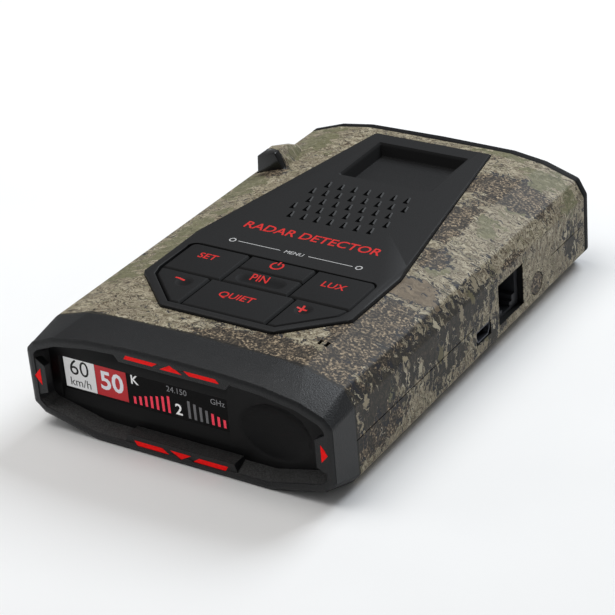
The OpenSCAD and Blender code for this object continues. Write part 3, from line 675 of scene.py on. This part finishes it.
def merged(parts):
    """One mesh from several, each with its own move in millimetres."""
    whole = bmesh.new()
    for part, move in parts:
        mesh = bpy.data.meshes.new("part")
        part.to_mesh(mesh)
        part.free()
        mesh.transform(Matrix.Translation(move))
        whole.from_mesh(mesh)
        bpy.data.meshes.remove(mesh)
    return whole


def bar(x, y, width, height):
    half_w, half_h = width / 2, height / 2
    return (outline([(-half_w, -half_h), (half_w, -half_h), (half_w, half_h), (-half_w, half_h)]), (x, y, 0))


LIFT = 0.02
LEGEND_SIZE, LEGEND_BOLD = 2.55, 0.035


def print_on(name, bm, x, y, node, material, body, facet=0.5):
    """Lays flat print on the top of a node, following any hollow in it. x and y are its centre."""
    bmesh.ops.triangulate(bm, faces=bm.faces)
    for _ in range(3):
        long_edges = [e for e in bm.edges if e.calc_length() > facet]
        if not long_edges:
            break
        bmesh.ops.subdivide_edges(bm, edges=long_edges, cuts=1)
        bmesh.ops.triangulate(bm, faces=bm.faces)
    source = bmesh.new()
    source.from_mesh(nodes[node].data)
    tree = BVHTree.FromBMesh(source)
    source.free()
    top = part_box(node)[1].z
    for vert in bm.verts:
        place = at(x + vert.co.x, y + vert.co.y, 0)
        place.z = top + 1 * MM
        hit = tree.ray_cast(place, Vector((0, 0, -1)))[0]
        height = hit.z if hit is not None and hit.z > top - 0.6 * MM else top
        vert.co = Vector((place.x, place.y, height + (LIFT + vert.co.z) * MM))
    mesh = bpy.data.meshes.new(name)
    bm.to_mesh(mesh)
    bm.free()
    return show(name, mesh, material, body)


LEGENDS = [("SET", -19.4, 44.6, "key_sensitivity"), ("LUX", 17.6, 44.3, "key_brightness"),
           ("PIN", -1.2, 40.5, "key_mark"), ("QUIET", -1.0, 29.9, "key_mute")]
for word, x, y, node in LEGENDS:
    print_on("legend_" + node[4:], lettering(word, LEGEND_SIZE, LEGEND_BOLD), x, y, node, red_ink,
             node)
plus = merged([bar(0, 0, 2.7, 0.55), bar(0, 0, 0.55, 2.7)])
print_on("legend_plus", plus, 16.4, 32.0, "key_plus", red_ink, "key_plus", 0.4)
print_on("legend_minus", merged([bar(0, 0, 2.7, 0.55)]), -19.3, 32.4, "key_minus", red_ink,
         "key_minus", 0.4)
power = merged([(arc_band(1.6, 0.5, 120, 420), (0, 0, 0)), bar(0, 1.25, 0.5, 1.7)])
print_on("legend_power", power, -0.65, 47.5, "key_power", red_ink, "key_power")

menu = merged([(arc_band(0.8, 0.3), (-18.6, 0, 0)), (arc_band(0.8, 0.3), (18.6, 0, 0)),
               bar(-10.6, 0, 12.6, 0.22), bar(10.4, 0, 12.8, 0.22),
               (lettering("MENU", 1.5), (-0.2, -0.1, 0))])
print_on("legend_menu", menu, 0, 54.7, "top_panel", white_ink, "case", 6)
print_on("legend_name", lettering("RADAR DETECTOR", 3.4, 0.05), -0.5, 63.4, "top_panel", red_ink,
         "case", 6)

# ---------------------------------------------------------------- display picture

DISPLAY_Y = (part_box("display_lens")[0].y - FRONT_Y) / MM - 0.03


def on_display(name, bm, x, z, colour, glow, shift=0.0):
    """Stands flat artwork up on the display's face, seen from the front."""
    for vert in bm.verts:
        vert.co = at(x + vert.co.x, DISPLAY_Y - shift - vert.co.z * 0.5, z + vert.co.y)
    bmesh.ops.recalc_face_normals(bm, faces=bm.faces)
    mesh = bpy.data.meshes.new(name)
    bm.to_mesh(mesh)
    bm.free()
    return show(name, mesh, printed(name + "_light", colour, glow), "case")


def plate(x0, x1, z0, z1):
    return [bar((x0 + x1) / 2, (z0 + z1) / 2, x1 - x0, z1 - z0)]


GLOW = 0.35
RED_BARS = linear(236, 60, 82)
INK = linear(14, 14, 15)
on_display("display_speed_box", merged(plate(-36.7, -27.3, 9.4, 17.7)), 0, 0, linear(214, 214, 214), GLOW)
on_display("display_limit_box", merged(plate(-27.2, -17.8, 9.4, 17.7)), 0, 0, linear(172, 36, 42), GLOW)
on_display("display_speed", merged([(lettering("60", 4.5), (-32.1, 15.1, 0)),
                                    (lettering("km/h", 2.35), (-32.1, 11.1, 0))]), 0, 0, INK, 0.0, 0.02)
on_display("display_limit", lettering("50", 5.2, 0.16), -22.4, 13.6, linear(214, 214, 220), GLOW, 0.02)
on_display("display_band", lettering("K", 2.5, 0.06), -15.4, 16.2, linear(225, 225, 225), GLOW)
on_display("display_channel", lettering("2", 3.1, 0.05), -2.9, 11.15, linear(235, 235, 235), GLOW)
units = merged([(lettering("24.150", 1.6), (-3.0, 16.35, 0)), (lettering("GHz", 1.6), (8.7, 16.1, 0))])
on_display("display_units", units, 0, 0, linear(118, 118, 120), GLOW)
BAR_FOOT, BAR_STEP, BAR_WIDTH = 9.6, 1.68, 0.72


def bars(first, count, height, growth):
    """A row of level bars, each a step taller or shorter than the last."""
    return merged([plate(first + i * BAR_STEP, first + i * BAR_STEP + BAR_WIDTH, BAR_FOOT,
                         BAR_FOOT + height + i * growth)[0] for i in range(count)])


on_display("display_bars_left", bars(-16.2, 7, 2.0, 0.44), 0, 0, RED_BARS, GLOW)
on_display("display_bars_middle", bars(-0.2, 4, 4.8, -0.43), 0, 0, linear(98, 98, 100), GLOW)
on_display("display_bars_right", bars(-0.2 + 4 * BAR_STEP, 3, 4.8 - 4 * 0.43, -0.43), 0, 0, RED_BARS, GLOW)

# ---------------------------------------------------------------- stage, light and camera

floor_mesh = bpy.data.meshes.new("floor")
bm = bmesh.new()
FLOOR_HALF = 3.0
bmesh.ops.create_grid(bm, x_segments=1, y_segments=1, size=FLOOR_HALF)
bm.to_mesh(floor_mesh)
bm.free()
floor = bpy.data.objects.new("floor", floor_mesh)
floor.location.z = -0.02 * MM
scene.collection.objects.link(floor)
g = Graph("floor_paper")
paper = g.noise(g.position(), 0.02, 2.0, 0.5)
pale = g.ramp(paper, [(0.3, (0.86, 0.86, 0.86, 1)), (0.7, (0.88, 0.88, 0.88, 1))])
paint(floor, g.set(color=pale, rough=0.9, specular=0.1))


def softbox(name, place, target, size, power, colour=(1, 1, 1)):
    light = bpy.data.lights.new(name, "AREA")
    light.shape = "RECTANGLE"
    light.size, light.size_y = size
    light.energy = power
    light.color = colour
    obj = bpy.data.objects.new(name, light)
    obj.location = place
    obj.rotation_euler = (Vector(target) - Vector(place)).to_track_quat("-Z", "Y").to_euler()
    scene.collection.objects.link(obj)


softbox("rear_bank", (0.16, 0.75, 0.72), (0, 0, 0.01), (0.55, 0.5), 8.0, (0.90, 0.95, 1.0))
softbox("overhead", (-0.25, -0.1, 0.9), (0, 0, 0), (0.6, 0.6), 4.6, (1.0, 0.99, 0.97))
softbox("left_fill", (-0.9, -0.3, 0.45), (0, 0, 0.01), (0.5, 0.5), 1.2)

world = bpy.data.worlds.new("studio")
world.use_nodes = True
world.node_tree.nodes["Background"].inputs[0].default_value = (1, 1, 1, 1)
world.node_tree.nodes["Background"].inputs[1].default_value = 0.22
scene.world = world

scene.view_settings.view_transform = "Standard"

# The view in degrees: round from the front, down from level, and the tilt of the picture. The camera
# is about half a metre from the object.
CAMERA_PLACE = at(274.9, -340.9, 280.2)
VIEW_ROUND, VIEW_DOWN, VIEW_TILT = 34.561, 28.913, -5.049
cam_data = bpy.data.cameras.new("camera")
cam_data.sensor_width = 36.0
cam_data.lens = 127.98
cam_data.clip_start = 0.01
cam = bpy.data.objects.new("camera", cam_data)
scene.collection.objects.link(cam)
turn = Matrix.Translation(CAMERA_PLACE)
for degrees, axis in ((VIEW_ROUND, "Z"), (90 - VIEW_DOWN, "X"), (VIEW_TILT, "Z")):
    turn = turn @ Matrix.Rotation(math.radians(degrees), 4, axis)
cam.matrix_world = turn
scene.camera = cam
